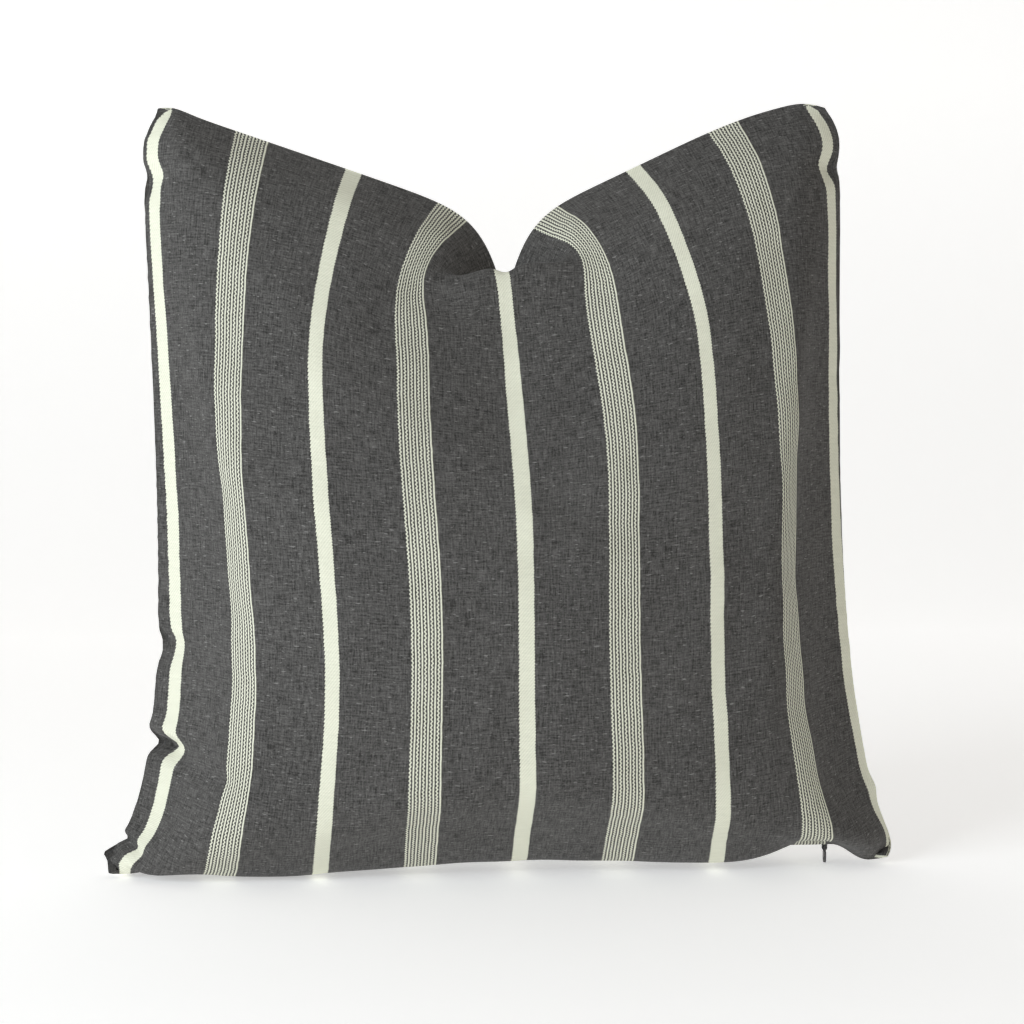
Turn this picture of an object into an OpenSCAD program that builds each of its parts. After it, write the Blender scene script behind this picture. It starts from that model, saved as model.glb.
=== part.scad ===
// Throw pillow standing on its bottom edge: a square knife-edge cover with an
// invisible zipper in its bottom seam, over a sewn insert with loose filling.
// The top edge is chopped to a V, so that the two top corners stand up as ears.
// Millimetres, +Z up, X runs along the zipper, the front faces -Y. The origin
// lies on the supporting surface, midway between the front and the back.

/* [Pillow] */
// Width across the two bottom corners
base_w = 478; // [390:1:580]
// How far each side seam pulls in at the waist, from the bottom corner
waist_pull = 31; // [20:1:40]
// How far each top corner stands out past the waist
top_flare = 8; // [0:1:20]
// Height of the two top corners
pillow_h = 474; // [390:1:580]
// Fall of each shoulder, from a top corner to the start of the chop
shoulder_fall = 82; // [50:1:100]
// Further fall of the seam inside the chop
chop_fall = 30; // [10:1:40]
// Thickness of the stuffed belly, front to back
belly_t = 186; // [150:1:230]
// Backward lean of the pillow in degrees
lean = 4; // [0:0.5:6]

/* [Cover] */
// Thickness of the woven cover fabric
fabric_t = 0.8; // [0.5:0.1:1]
// Width of the seam allowance inside the cover
seam_allowance = 14; // [12:0.5:17]
// Distance from each bottom corner to the end of the zipper chain
zipper_inset = 30; // [25:1:40]
// Radius of the sewing thread
thread_r = 0.25; // [0.2:0.05:0.3]

/* [Zipper] */
// Width of one coil across the seam
coil_w = 1.1; // [0.9:0.1:1.4]
// Depth of the coils, in towards the pillow
coil_h = 2.8; // [2.3:0.1:3.4]
// Distance from tooth to tooth along one coil
tooth_pitch = 2; // [1.6:0.1:2.5]
// Thickness of the woven zipper tape
tape_t = 0.4; // [0.3:0.1:0.6]
// Length of the slider body
slider_len = 10; // [8:0.5:12]
// Length of a stop, which clamps the end of a coil
stop_len = 3; // [2:0.5:4]
// Width of the pull tab
pull_w = 4.6; // [3.8:0.1:5.6]
// Thickness of the pull tab
pull_t = 1.2; // [0.9:0.1:1.5]
// Height of the pull's lowest point above the supporting surface
pull_ground_gap = 0.6; // [0.3:0.1:2]

/* [Insert] */
// Thickness of the insert's shell fabric
shell_t = 0.6; // [0.4:0.1:0.9]
// Space left between two layers of the pillow
layer_gap = 2.4; // [2:0.1:3]
// Length of the hand-closed filling opening
closing_len = 110; // [80:1:150]

/* [Hidden] */

FRONT = -1;
BACK = 1;

charcoal = "#4a4a4c";
tape_grey = "#3a3a3c";
gunmetal = "#4c4c50";
undyed = "#e9e6dc";

// Form of the stuffed pillow
base_half = base_w / 2;
waist_half = base_half - waist_pull;
seam_z = 12;             // height of the zipper seam in its groove
rise = pillow_h - seam_z;
flare_power = 9;         // how quickly the side seams pull in above the corners
tape_share = seam_allowance / rise;      // they stay upright beside the zipper's tapes
chop_spread = 0.06;      // half width of the chop, as a share of the half width
chop_power = 2.5;        // how quickly the chop fades below the top seam
chop_pinch = 0.4;        // share of the thickness lost below the chop
chop_reach = 0.3;        // half width of that pinch
belly_shift = 0.267;     // puts the thickest place below the middle
edge_loft = 44;          // thickness that the corners keep
belly_sag = 37;          // how far the belly hangs below its own seam
sag_peak = 0.13;         // where it hangs lowest, from the seam upwards
sag_power = 1.1;
sag_run = 76;            // the sag fades over this length towards each end of
sag_end = 33;            // the seam, and is gone this far from the corner
corner_droop = 10.5;     // drop of each bottom corner below the zipper seam
corner_sweep = 8;        // forward sweep of each bottom corner
corner_fade = 0.06;
corner_start = 2;        // droop and sweep begin this far past the zipper's zone
lean_start = 30;         // the seam stands upright this far above the zipper
lean_ease = 40;
belly_height = 190;      // height at which the pillow is thickest
lean_base = -lean_over(belly_height);    // place of the zipper seam along Y

// Zipper, measured from its seam: n is the distance from the middle of the seam
// and d the depth into the pillow
slider_clear = 0.25;     // running clearance of the slider round the coils
slider_wall = 0.35;
plate_clear = 0.3;       // clearance between the coils and the slider's plates
plate_t = 0.9;           // thickness of the slider's two plates
post_half = 0.5;         // half width of the slider's middle post
fold_n = 0.7;            // half width of the slot between the two folds
coil_in = post_half + slider_clear;
coil_out = coil_in + coil_w;
slider_half = coil_out + slider_clear + slider_wall;
tape_clear = 0.25;       // gap between the slider and the tape
tape_in = slider_half + tape_clear;
tape_out = tape_in + tape_t;
tape_gap = 0.15;         // gap between the tape and the allowance behind it
allowance_n = tape_out + tape_gap;
spread_d = 1.8;          // depth at which the allowances run parallel again
tape_top_d = 2.2;        // depth at which the tape's near edge lies
tape_raise = 0.5;        // the tape ends this far short of the allowance's edge
plate_d = 1.4;           // depth of the slider's outer face
coil_d = plate_d + plate_t + plate_clear;
slider_d = coil_d + coil_h + plate_clear + plate_t;
rib_d = coil_d + coil_h / 2;
rib_h = 0.4;             // folded tape edge that carries the coil
tooth_slope = 0.1;       // share of the pitch that a tooth's flank takes
tooth_top = 0.4;         // share of the pitch that its flat top takes
chain_half = base_half - zipper_inset;
tape_tail = 3;           // the tapes run on past the chain
tape_half = chain_half + tape_tail;
zip_zone = tape_half + 1;
zip_fade = 0.25;         // the folds close over this share of the way to the corner
fold_rise = 0.1;         // the folds' slot closes over this share of the half height
seam_gap = 0.05;         // half the gap between two layers sewn together
stop_gap = 0.3;          // gap between the slider and the top stops
stop_inner = 0.2;        // half the gap between the two top stops
stitch_inset = 3;        // the tapes' stitching ends this far from the tapes' ends
stitch_gap = 0.05;       // gap between that stitching and the tape
slider_x = chain_half - stop_len - stop_gap - slider_len / 2;
pin_r = 0.75;
pin_clear = 0.05;
pin_d = -2.1;            // the pull's pin hangs this far below the folds
pin_x = slider_x + 1.5;
eye_r = 1.7;             // eye of the slider
eye_half = 0.6;
neck_lap = 0.1;          // the eye's neck runs this far into the outer plate
arm_t = 0.7;             // the pull's two arms, beside the eye
arm_gap = 0.25;
arm_boss_t = 0.4;        // metal round the pin at the end of each arm
tab_gap = 0.6;           // gap between the slider's eye and the pull's tab
tab_rim = 1.4;           // metal round the hole in the tab

// Sewing threads
stitch_d = 2.8;          // depth of the lockstitch behind the seam's edge
thread_gap = 0.08;
overlock_r = 0.4;
overlock_gap = 1.2;      // the overlock thread lies this far past the raw edges
rim_thread_gap = 1.2;    // the insert's seam thread lies this far outside its rim
closing_gap = 2.2;       // its closing stitch hangs this far below the rim

// Crotch of each fold, where panel and allowance meet
sewn_crotch_d = 1.3;
zip_crotch_d = 0.4;
crotch_spread = 0.45;

// Layers: [share of the half size at the rim, half thickness, sag, lowest height]
insert_gap = 9;          // from the cover's raw edges to the insert's rim
filling_gap = 20;        // and to the edge of the filling
small_half = min(waist_half, rise / 2);
insert_rim = 1 - (seam_allowance + insert_gap) / small_half;
filling_rim = 1 - (seam_allowance + filling_gap) / small_half;
COVER = [1, belly_t / 2, belly_sag, 0];
INSERT = [
    insert_rim, belly_t / 2 - fabric_t - layer_gap,
    belly_sag + (1 - insert_rim) * rise / 2 - 2 * layer_gap,
    fabric_t + layer_gap
];
FILLING = [
    filling_rim, INSERT[1] - shell_t - layer_gap,
    belly_sag + (1 - filling_rim) * rise / 2 - 5 * layer_gap,
    INSERT[3] + shell_t + layer_gap
];

// Rings of each skin, from the seam to the middle of the panel
cover_rings = [0, 0.005, 0.015, 0.04, 0.075, 0.12, 0.18, 0.26, 0.37, 0.5, 0.66, 0.83];
insert_rings = [0, 0.02, 0.06, 0.12, 0.2, 0.32, 0.5, 0.74];

function clamp01(t) = min(1, max(0, t));
function ease(t) = let(c = clamp01(t)) c * c * (3 - 2 * c);

// Half width of the pillow at share w of its height
function half_width(w) =
    let(above = max(0, w - tape_share))
    waist_half + waist_pull * pow(1 - above, flare_power) + top_flare * above * above;

// Height of the top seam at share u of the half width
function top_seam(u) =
    pillow_h - shoulder_fall * (1 - abs(u)) - chop_fall * exp(-abs(u) / chop_spread);

// The pillow's middle surface leans back above its upright bottom seam
function lean_over(z) =
    let(t = max(0, z - seam_z - lean_start)) tan(lean) * t * t / (t + lean_ease);

// Middle surface: u runs from side to side and v from bottom to top, -1 to 1
function middle(u, v) =
    let(
        w = (v + 1) / 2,
        x = u * half_width(w),
        z = seam_z + rise * w + (top_seam(u) - pillow_h) * pow(w, chop_power),
        start = zip_zone + corner_start,
        c = ease((abs(x) - start) / (base_half - start)) * exp(-w / corner_fade)
    )
    [x, lean_over(z) - lean_over(belly_height) - corner_sweep * c, z - corner_droop * c];

// Half thickness of a layer
function loft(u, v, layer) =
    let(
        a = clamp01(abs(u) / layer[0]),
        b = max(-1, min(1, v / layer[0])),
        s = b + belly_shift * (1 - b * b),
        middle_loft = sqrt(layer[1] * layer[1] - edge_loft * edge_loft),
        body = middle_loft * pow(1 - pow(a, 2.2), 0.62) * pow(1 - s * s, 0.6),
        pinch = 1 - chop_pinch * ease((b + 0.1) / 0.9) * exp(-pow(a / chop_reach, 2)),
        edge = edge_loft * pow(1 - pow(max(a, abs(b)), 2), 0.6)
    )
    norm([body * pinch, edge]);

// How far a layer hangs down at height v, near the middle of the bottom edge
function sag(x, v, layer) =
    let(
        t = max(0, 1 + v / layer[0]) / sag_peak,
        past = abs(x) - (layer[0] * base_half - sag_end - sag_run)
    )
    layer[2] * pow(t, sag_power) * exp(sag_power * (1 - t)) * (1 - ease(past / sag_run));

// 1 where the bottom seam holds the zipper, 0 where it is sewn shut
function zipped(x) = 1 - ease((abs(x) - zip_zone) / (zip_fade * (base_half - zip_zone)));

// Point on a layer's outer face, on the front or the back of the pillow
function skin(u, v, side, layer) =
    let(
        m = middle(u, v),
        open = layer[0] == 1 ? zipped(m[0]) * (1 - ease((v + 1) / fold_rise)) : 0,
        n = seam_gap + (fold_n - seam_gap) * open + loft(u, v, layer)
    )
    [m[0], m[1] + side * n, max(layer[3], m[2] - sag(m[0], v, layer))];

// Outward direction of that face
function outward(u, v, side, layer) =
    let(
        e = 0.002,
        across = skin(u + e, v, side, layer) - skin(u - e, v, side, layer),
        up = skin(u, v + e, side, layer) - skin(u, v - e, side, layer),
        n = cross(across, up) * -side
    )
    n / norm(n);

// Inner face of a layer of thickness t
function lining(u, v, side, layer, t) =
    let(p = skin(u, v, side, layer) - t * outward(u, v, side, layer))
    [p[0], p[1], max(layer[3] + t, p[2])];

// Point on the middle surface, d inside the rim and n away from it
function inside(edge, d, n, side, layer) =
    let(
        u = edge[0] * (layer[0] - d / waist_half),
        v = edge[1] * (layer[0] - d / (rise / 2)),
        m = middle(u, v)
    )
    m + [0, side * n, 0];

// The same inside the cover, where the zipper's part of the seam runs straight in
function inside_cover(edge, d, n, side) =
    let(
        v = edge[1] * (1 - d / (rise / 2)),
        wide = half_width((v + 1) / 2),
        corner = wide * (1 - d / waist_half),
        x = abs(edge[0]) * base_half,
        squeeze = (corner - zip_zone) / (base_half - zip_zone),
        straight = x < zip_zone ? x : zip_zone + (x - zip_zone) * squeeze,
        m = middle(sign(edge[0]) * straight / wide, v)
    )
    edge[1] == -1 ? m + [0, side * n, 0] : inside(edge, d, n, side, COVER);

function zip_share(edge) = edge[1] == -1 ? zipped(edge[0] * base_half) : 0;

// Seam allowance of the cover: parallel to the seam, and round the zipper tapes
function allowance(edge, d, t, side) =
    inside_cover(edge, d, seam_gap + (allowance_n - seam_gap) * zip_share(edge) + t, side);

// Where the wrong sides of the panel and its allowance meet
function crotch(edge, side) =
    let(
        q = zip_share(edge),
        n = seam_gap + (fold_n - seam_gap) * q + fabric_t + crotch_spread * q
    )
    inside_cover(edge, sewn_crotch_d + (zip_crotch_d - sewn_crotch_d) * q, n, side);

// Steps along a half edge, close together at its end, or at both its ends
function end_steps(k) = [for (i = [0:k]) sin(90 * i / k)];
function both_steps(k) = [for (i = [0:k]) (1 - cos(180 * i / k)) / 2];
function mirrored(steps) =
    let(k = len(steps) - 1) [for (i = [-k:k - 1]) sign(i) * steps[abs(i)]];

// The zipper edge has steps up to the zipper's end, then four to the corner
function zipper_steps(k) =
    let(t = zip_zone / base_half)
    concat([for (s = end_steps(k)) s * t], [for (i = [1:4]) t + (1 - t) * i / 4]);

// Edge points once round the square, from the bottom left corner
function edge_loop(bottom, side, top) = concat(
    [for (s = mirrored(bottom)) [s, -1]],
    [for (s = mirrored(side)) [1, s]],
    [for (s = mirrored(top)) [-s, 1]],
    [for (s = mirrored(side)) [-1, -s]]
);

cover_edge = edge_loop(zipper_steps(9), end_steps(9), both_steps(10));

// Its sewn edges only: up one side, over the top and down the other
zipper_columns = 2 * (len(zipper_steps(9)) - 1);
sewn_edge = [for (i = [zipper_columns:len(cover_edge) - 1]) cover_edge[i]];
insert_edge = edge_loop(end_steps(7), end_steps(5), both_steps(7));

// Faces between two rings of n points, each cell split along its shorter diagonal
function band(points, n, first, second, flip) = [
    for (i = [0:n - 1])
        let(
            j = (i + 1) % n,
            a = first + i, b = first + j, c = second + j, d = second + i,
            along = norm(points[b] - points[d]) < norm(points[a] - points[c]),
            cells = along ? [[a, b, d], [b, c, d]] : [[a, b, c], [a, c, d]]
        )
        each flip ? [for (f = cells) [f[2], f[1], f[0]]] : cells
];
function fan(n, first, tip, flip) = [
    for (i = [0:n - 1])
        let(j = (i + 1) % n)
        flip ? [tip, first + j, first + i] : [first + i, first + j, tip]
];

// Closed solid over rings of equal length, with a tip at its start and its end
module ring_solid(rings, start_tip, end_tip, flip) {
    n = len(rings[0]);
    count = len(rings);
    points = concat([for (r = rings) each r], [start_tip, end_tip]);
    faces = concat(
        fan(n, 0, n * count, !flip),
        [for (k = [0:count - 2]) each band(points, n, k * n, (k + 1) * n, flip)],
        fan(n, (count - 1) * n, n * count + 1, flip)
    );
    polyhedron(points, faces, convexity = 8);
}

function skin_ring(edges, f, side, layer) =
    [for (e = edges) skin(e[0] * layer[0] * (1 - f), e[1] * layer[0] * (1 - f), side, layer)];
function lining_ring(edges, f, side, layer, t) =
    [for (e = edges) lining(e[0] * layer[0] * (1 - f), e[1] * layer[0] * (1 - f), side, layer, t)];
function reversed(list) = [for (i = [len(list) - 1:-1:0]) list[i]];

// One square of cover fabric, crowned over the filling, its allowance turned in
module cover_panel(side) {
    inner_rings = [for (i = [1:len(cover_rings) - 1]) cover_rings[i]];
    rings = concat(
        [for (f = reversed(cover_rings)) skin_ring(cover_edge, f, side, COVER)],
        [[for (e = cover_edge) allowance(e, spread_d, 0, side)]],
        [[for (e = cover_edge) allowance(e, seam_allowance, 0, side)]],
        [[for (e = cover_edge) allowance(e, seam_allowance, fabric_t, side)]],
        [[for (e = cover_edge) allowance(e, tape_top_d, fabric_t, side)]],
        [[for (e = cover_edge) crotch(e, side)]],
        [for (f = inner_rings) lining_ring(cover_edge, f, side, COVER, fabric_t)]
    );
    ring_solid(rings, skin(0, 0, side, COVER), lining(0, 0, side, COVER, fabric_t), side == BACK);
}

// Half of the insert's shell, up to its sewn rim
module insert_panel(side) {
    rings = concat(
        [for (f = reversed(insert_rings)) skin_ring(insert_edge, f, side, INSERT)],
        [[for (e = insert_edge) inside(e, 2 * shell_t, seam_gap, side, INSERT)]],
        [for (i = [1:len(insert_rings) - 1])
            lining_ring(insert_edge, insert_rings[i], side, INSERT, shell_t)]
    );
    ring_solid(rings, skin(0, 0, side, INSERT), lining(0, 0, side, INSERT, shell_t), side == BACK);
}

// Tube of radius r through the points of a path, closed or with two flat ends
module thread(path, r, closed) {
    sides = 4;
    n = len(path);
    tube = [
        for (i = [0:n - 1])
            let(
                a = path[closed ? (i + n - 1) % n : max(0, i - 1)],
                b = path[closed ? (i + 1) % n : min(n - 1, i + 1)],
                t = (b - a) / norm(b - a),
                side = cross(t, [0, 1, 0]),
                p = side / norm(side),
                q = cross(p, t)
            )
            each [
                for (k = [0:sides - 1])
                    let(turn = 360 * k / sides)
                    path[i] + r * (cos(turn) * p + sin(turn) * q)
            ]
    ];
    last = closed ? n - 1 : n - 2;
    walls = [
        for (i = [0:last])
            each band(tube, sides, i * sides, ((i + 1) % n) * sides, true)
    ];
    caps = closed ? [] : [
        [for (k = [0:sides - 1]) k],
        [for (k = [sides - 1:-1:0]) (n - 1) * sides + k]
    ];
    polyhedron(tube, concat(walls, caps), convexity = 8);
}

module lockstitch(side) {
    n = seam_gap + fabric_t + thread_gap + thread_r;
    thread([for (e = sewn_edge) inside(e, stitch_d, n, side, COVER)], thread_r, false);
}

// A bar along X, with its section drawn in n and d on one side of the seam
module along_seam(side, from_x, to_x) {
    translate([from_x, lean_base, seam_z])
        rotate([90, 0, 90])
            linear_extrude(to_x - from_x)
                scale([side, 1])
                    children();
}

module tape(side) {
    deep = seam_allowance - tape_raise;
    along_seam(side, -tape_half, tape_half)
        polygon([
            [tape_in, tape_top_d], [tape_out, tape_top_d],
            [tape_out, deep], [tape_in, deep],
            [tape_in, rib_d + rib_h / 2], [coil_out, rib_d + rib_h / 2],
            [coil_out, rib_d - rib_h / 2], [tape_in, rib_d - rib_h / 2]
        ]);
}

// Toothed coil: its teeth point to the seam's middle, half a pitch out of step
module coil(side) {
    root = coil_in + coil_w / 2;
    count = floor(2 * chain_half / tooth_pitch) - 1;
    start = -chain_half + (side == FRONT ? 0.25 : 0.75) * tooth_pitch;
    teeth = [
        for (i = [0:count - 1])
            let(x = start + i * tooth_pitch)
            each [
                [x, root],
                [x + tooth_slope * tooth_pitch, coil_in],
                [x + (tooth_slope + tooth_top) * tooth_pitch, coil_in],
                [x + (2 * tooth_slope + tooth_top) * tooth_pitch, root]
            ]
    ];
    outline = concat([[-chain_half, coil_out], [-chain_half, root]], teeth,
        [[chain_half, root], [chain_half, coil_out]]);
    translate([0, lean_base, seam_z + coil_d])
        linear_extrude(coil_h)
            polygon([for (p = outline) [p[0], side * p[1]]]);
}

// Clamp round a coil: a channel with running clearance and a slot for the rib
module coil_clamp(side, from_x, to_x, middle_n) {
    along_seam(side, from_x, to_x)
        difference() {
            translate([middle_n, plate_d])
                square([slider_half - middle_n, slider_d - plate_d]);
            translate([post_half, coil_d - plate_clear])
                square([coil_w + 2 * slider_clear, coil_h + 2 * plate_clear]);
            translate([coil_out, rib_d - rib_h / 2 - slider_clear])
                square([slider_half, rib_h + 2 * slider_clear]);
        }
}

module cover_front_panel() { color(charcoal) cover_panel(FRONT); }
module cover_back_panel() { color(charcoal) cover_panel(BACK); }
module seam_needle_thread() { color("dimgray") lockstitch(FRONT); }
module seam_bobbin_thread() { color("gray") lockstitch(BACK); }

// Thread round the raw edges of the two allowances
module seam_overlock_thread() {
    color("dimgray")
        thread(
            [for (e = sewn_edge) inside(e, seam_allowance + overlock_gap, 0, FRONT, COVER)],
            overlock_r, false
        );
}

module zipper_tape_front() { color(tape_grey) tape(FRONT); }
module zipper_tape_back() { color(tape_grey) tape(BACK); }
module zipper_coil_front() { color("#303033") coil(FRONT); }
module zipper_coil_back() { color("#303033") coil(BACK); }

module tape_stitching(side) {
    along_seam(side, stitch_inset - tape_half, tape_half - stitch_inset)
        translate([tape_in - thread_r - stitch_gap, (slider_d + seam_allowance) / 2])
            circle(thread_r, $fn = 24);
}
module zipper_stitching_front() { color("dimgray") tape_stitching(FRONT); }
module zipper_stitching_back() { color("dimgray") tape_stitching(BACK); }

// One clamp that holds both coils together at the open end
module zipper_bottom_stop() {
    color(gunmetal) {
        coil_clamp(FRONT, -chain_half, -chain_half + stop_len, 0);
        coil_clamp(BACK, -chain_half, -chain_half + stop_len, 0);
    }
}

// One clamp on each coil at the closed end
module zipper_top_stops() {
    color(gunmetal) {
        coil_clamp(FRONT, chain_half - stop_len, chain_half, stop_inner);
        coil_clamp(BACK, chain_half - stop_len, chain_half, stop_inner);
    }
}

// Slider: two channels beside a post, and a neck that ends in an eye outside
module zipper_slider() {
    neck_half = fold_n - slider_clear;
    bore_r = pin_r + pin_clear;
    color(gunmetal) {
        coil_clamp(FRONT, slider_x - slider_len / 2, slider_x + slider_len / 2, 0);
        coil_clamp(BACK, slider_x - slider_len / 2, slider_x + slider_len / 2, 0);
        translate([pin_x, lean_base, seam_z])
            difference() {
                union() {
                    translate([-eye_r, -neck_half, pin_d])
                        cube([2 * eye_r, 2 * neck_half, plate_d - pin_d + neck_lap]);
                    translate([0, eye_half, pin_d])
                        rotate([90, 0, 0])
                            cylinder(h = 2 * eye_half, r = eye_r, $fn = 48);
                }
                translate([0, 2 * eye_half, pin_d])
                    rotate([90, 0, 0])
                        cylinder(h = 4 * eye_half, r = bore_r, $fn = 48);
            }
    }
}

// Pull: a pin through the slider's eye, two arms beside it and a rounded tab
module zipper_pull() {
    arm_in = eye_half + arm_gap;
    arm_out = arm_in + arm_t;
    tip_z = pull_ground_gap - seam_z;
    tab_r = pull_w / 2;
    tab_top = pin_d - eye_r - tab_gap;
    color(gunmetal)
        translate([pin_x, lean_base, seam_z])
            difference() {
                union() {
                    translate([0, arm_out, pin_d])
                        rotate([90, 0, 0])
                            cylinder(h = 2 * arm_out, r = pin_r, $fn = 48);
                    for (side = [FRONT, BACK]) {
                        translate([-pull_t / 2, side * (arm_in + arm_t / 2) - arm_t / 2, tab_top])
                            cube([pull_t, arm_t, pin_d - tab_top]);
                        translate([0, side * (arm_in + arm_t / 2) + arm_t / 2, pin_d])
                            rotate([90, 0, 0])
                                cylinder(h = arm_t, r = pin_r + arm_boss_t, $fn = 48);
                    }
                    translate([-pull_t / 2, -tab_r, tip_z + tab_r])
                        cube([pull_t, pull_w, tab_top - tip_z - tab_r]);
                    translate([-pull_t / 2, 0, tip_z + tab_r])
                        rotate([0, 90, 0])
                            cylinder(h = pull_t, r = tab_r, $fn = 64);
                }
                translate([-pull_t, 0, tip_z + tab_r])
                    rotate([0, 90, 0])
                        cylinder(h = 2 * pull_t, r = tab_r - tab_rim, $fn = 48);
            }
}

module insert_front_panel() { color(undyed) insert_panel(FRONT); }
module insert_back_panel() { color(undyed) insert_panel(BACK); }

// Thread along the insert's sewn rim
module insert_seam_thread() {
    color("white")
        thread(
            [for (e = insert_edge) inside(e, -rim_thread_gap, 0, FRONT, INSERT)],
            thread_r, true
        );
}

// Short run of hand stitches that closes the filling opening
module insert_closing_stitch() {
    z = middle(0, -insert_rim)[2] - closing_gap;
    color("white")
        translate([-closing_len / 2, lean_base, z])
            rotate([0, 90, 0])
                cylinder(h = closing_len, r = thread_r, $fn = 24);
}

// Loose filling, as one soft body inside the shell
module insert_filling() {
    rings = concat(
        [for (f = reversed(insert_rings)) skin_ring(insert_edge, f, FRONT, FILLING)],
        [for (i = [1:len(insert_rings) - 1]) skin_ring(insert_edge, insert_rings[i], BACK, FILLING)]
    );
    color("ivory")
        ring_solid(rings, skin(0, 0, FRONT, FILLING), skin(0, 0, BACK, FILLING), false);
}

cover_front_panel();
cover_back_panel();
seam_needle_thread();
seam_bobbin_thread();
seam_overlock_thread();
zipper_tape_front();
zipper_tape_back();
zipper_coil_front();
zipper_coil_back();
zipper_stitching_front();
zipper_stitching_back();
zipper_bottom_stop();
zipper_top_stops();
zipper_slider();
zipper_pull();
insert_front_panel();
insert_back_panel();
insert_seam_thread();
insert_closing_stitch();
insert_filling();
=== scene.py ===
"""Throw pillow, standing on its bottom edge with a chopped top.

The cover and its insert are two square panels each. Their cloth is simulated on a grid that holds the flat
pattern: rows and columns are threads of the weave, so the stripes follow the fabric wherever it goes.
All places are metres in the CAD frame: +Z up, X along the zipper, the front faces -Y.
"""

import math

import bpy
import numpy as np
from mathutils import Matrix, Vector


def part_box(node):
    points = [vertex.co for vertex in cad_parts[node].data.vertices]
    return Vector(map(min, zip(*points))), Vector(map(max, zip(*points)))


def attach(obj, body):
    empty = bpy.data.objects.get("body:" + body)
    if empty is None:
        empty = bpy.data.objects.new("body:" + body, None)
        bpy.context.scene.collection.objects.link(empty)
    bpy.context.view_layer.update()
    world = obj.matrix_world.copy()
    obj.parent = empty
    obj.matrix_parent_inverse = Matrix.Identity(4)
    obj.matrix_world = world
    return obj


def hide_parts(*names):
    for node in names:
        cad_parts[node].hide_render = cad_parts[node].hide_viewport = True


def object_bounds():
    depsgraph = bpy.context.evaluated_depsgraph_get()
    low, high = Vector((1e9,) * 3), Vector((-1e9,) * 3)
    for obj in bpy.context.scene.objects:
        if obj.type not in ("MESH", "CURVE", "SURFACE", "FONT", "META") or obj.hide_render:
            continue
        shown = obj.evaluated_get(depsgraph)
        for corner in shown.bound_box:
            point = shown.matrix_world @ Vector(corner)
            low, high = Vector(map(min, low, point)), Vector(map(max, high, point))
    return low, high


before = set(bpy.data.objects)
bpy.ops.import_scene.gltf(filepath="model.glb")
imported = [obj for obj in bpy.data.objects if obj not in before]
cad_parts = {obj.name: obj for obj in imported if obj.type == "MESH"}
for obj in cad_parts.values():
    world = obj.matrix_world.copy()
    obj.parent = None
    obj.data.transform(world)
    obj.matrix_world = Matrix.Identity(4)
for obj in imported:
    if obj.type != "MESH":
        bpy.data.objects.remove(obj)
CAD_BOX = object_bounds()

# Sewn size of the cover's square panels, and where the frame holds its zipper
SIDE = 0.508
TAPE_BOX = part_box("zipper_tape_front")
ZIP_HALF = TAPE_BOX[1].x + 0.001
ZIP_FADE = 0.008
ZIP_Y = -0.00814722
SEAM_Z = 0.012
BASE_HALF = CAD_BOX[1].x
HEIGHT = CAD_BOX[1].z

# Cloth of the cover: thickness, half the gap between the panels at the seam, turned-in allowance
# and its half spread over the zipper, and how deep behind the seam each turned face starts
FABRIC = 0.0008
SEAM_GAP = 0.00005
ALLOWANCE = 0.014
ZIP_ALLOWANCE = 0.00325
TURN_DEPTH = 0.0018
INNER_TURN_DEPTH = 0.0024
FACE_DEPTH = 0.0010

# Near a corner of the cover its allowance is trimmed by this share
CORNER_ZONE = 0.060
CORNER_TRIM = 0.65

# Insert: shell thickness, distances of shell and filling from the cover's face and from its seam,
# how much further in the shell's inner face ends, and half its closed opening
SHELL = 0.0006
INSERT_GAP = 0.0034
FILLING_GAP = 0.0070
RIM_DEPTH = 0.022
FILLING_DEPTH = 0.034
SHELL_RIM = 0.0012
CLOSING_HALF = 0.055
SHELL_GRID = 72
FILLING_GRID = 96
CLUMP = 0.0022

# Limits inside the cover: least share of its thickness, how soon the faces part from the rim, the
# groove over the zipper and the roof under the top seam
LEAST_SHARE = 0.15
RIM_OPENING = 0.16
GROOVE_HALF = 0.010
GROOVE_FADE = 0.012
ROOF_DROP = 0.8
ROOF_SLOPE = 1.2

# Threads: radii, depth of the stitches behind the seam, and points along a stitch
THREAD_R = 0.00025
OVERLOCK_R = 0.00016
STITCH_DEPTH = 0.0028
STITCH_STEP = 0.00075
STITCH_STEPS = 4
STITCH_DIP = 0.7
OVERLOCK_STEP = 0.00025
OVERLOCK_STEPS = 10
WHIP_PITCH = 0.004

# Zipper coils
COIL_PITCH = 0.002
WIRE_R = 0.0003

# Woven stripes: distance from a solid stripe to the banded one beside it, and their drift across the panel
PITCH = 0.0612
DRIFT = 0.0055
OFFSET = -0.0020
STRIPE_HALF = 0.0048
LINE_PITCH = 0.00206
TOOTH = 0.00245
DARK_YARN = (0.030, 0.0288, 0.0275, 1)
PALE_YARN = (0.132, 0.128, 0.1235, 1)
SLUB_YARN = (0.30, 0.295, 0.285, 1)
# Cream of the stripes, and a darker cream that is painted as shade in the grooves of their twill
CREAM = (0.89, 0.895, 0.745, 1)
CREAM_SHADE = (0.71, 0.72, 0.585, 1)
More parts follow.
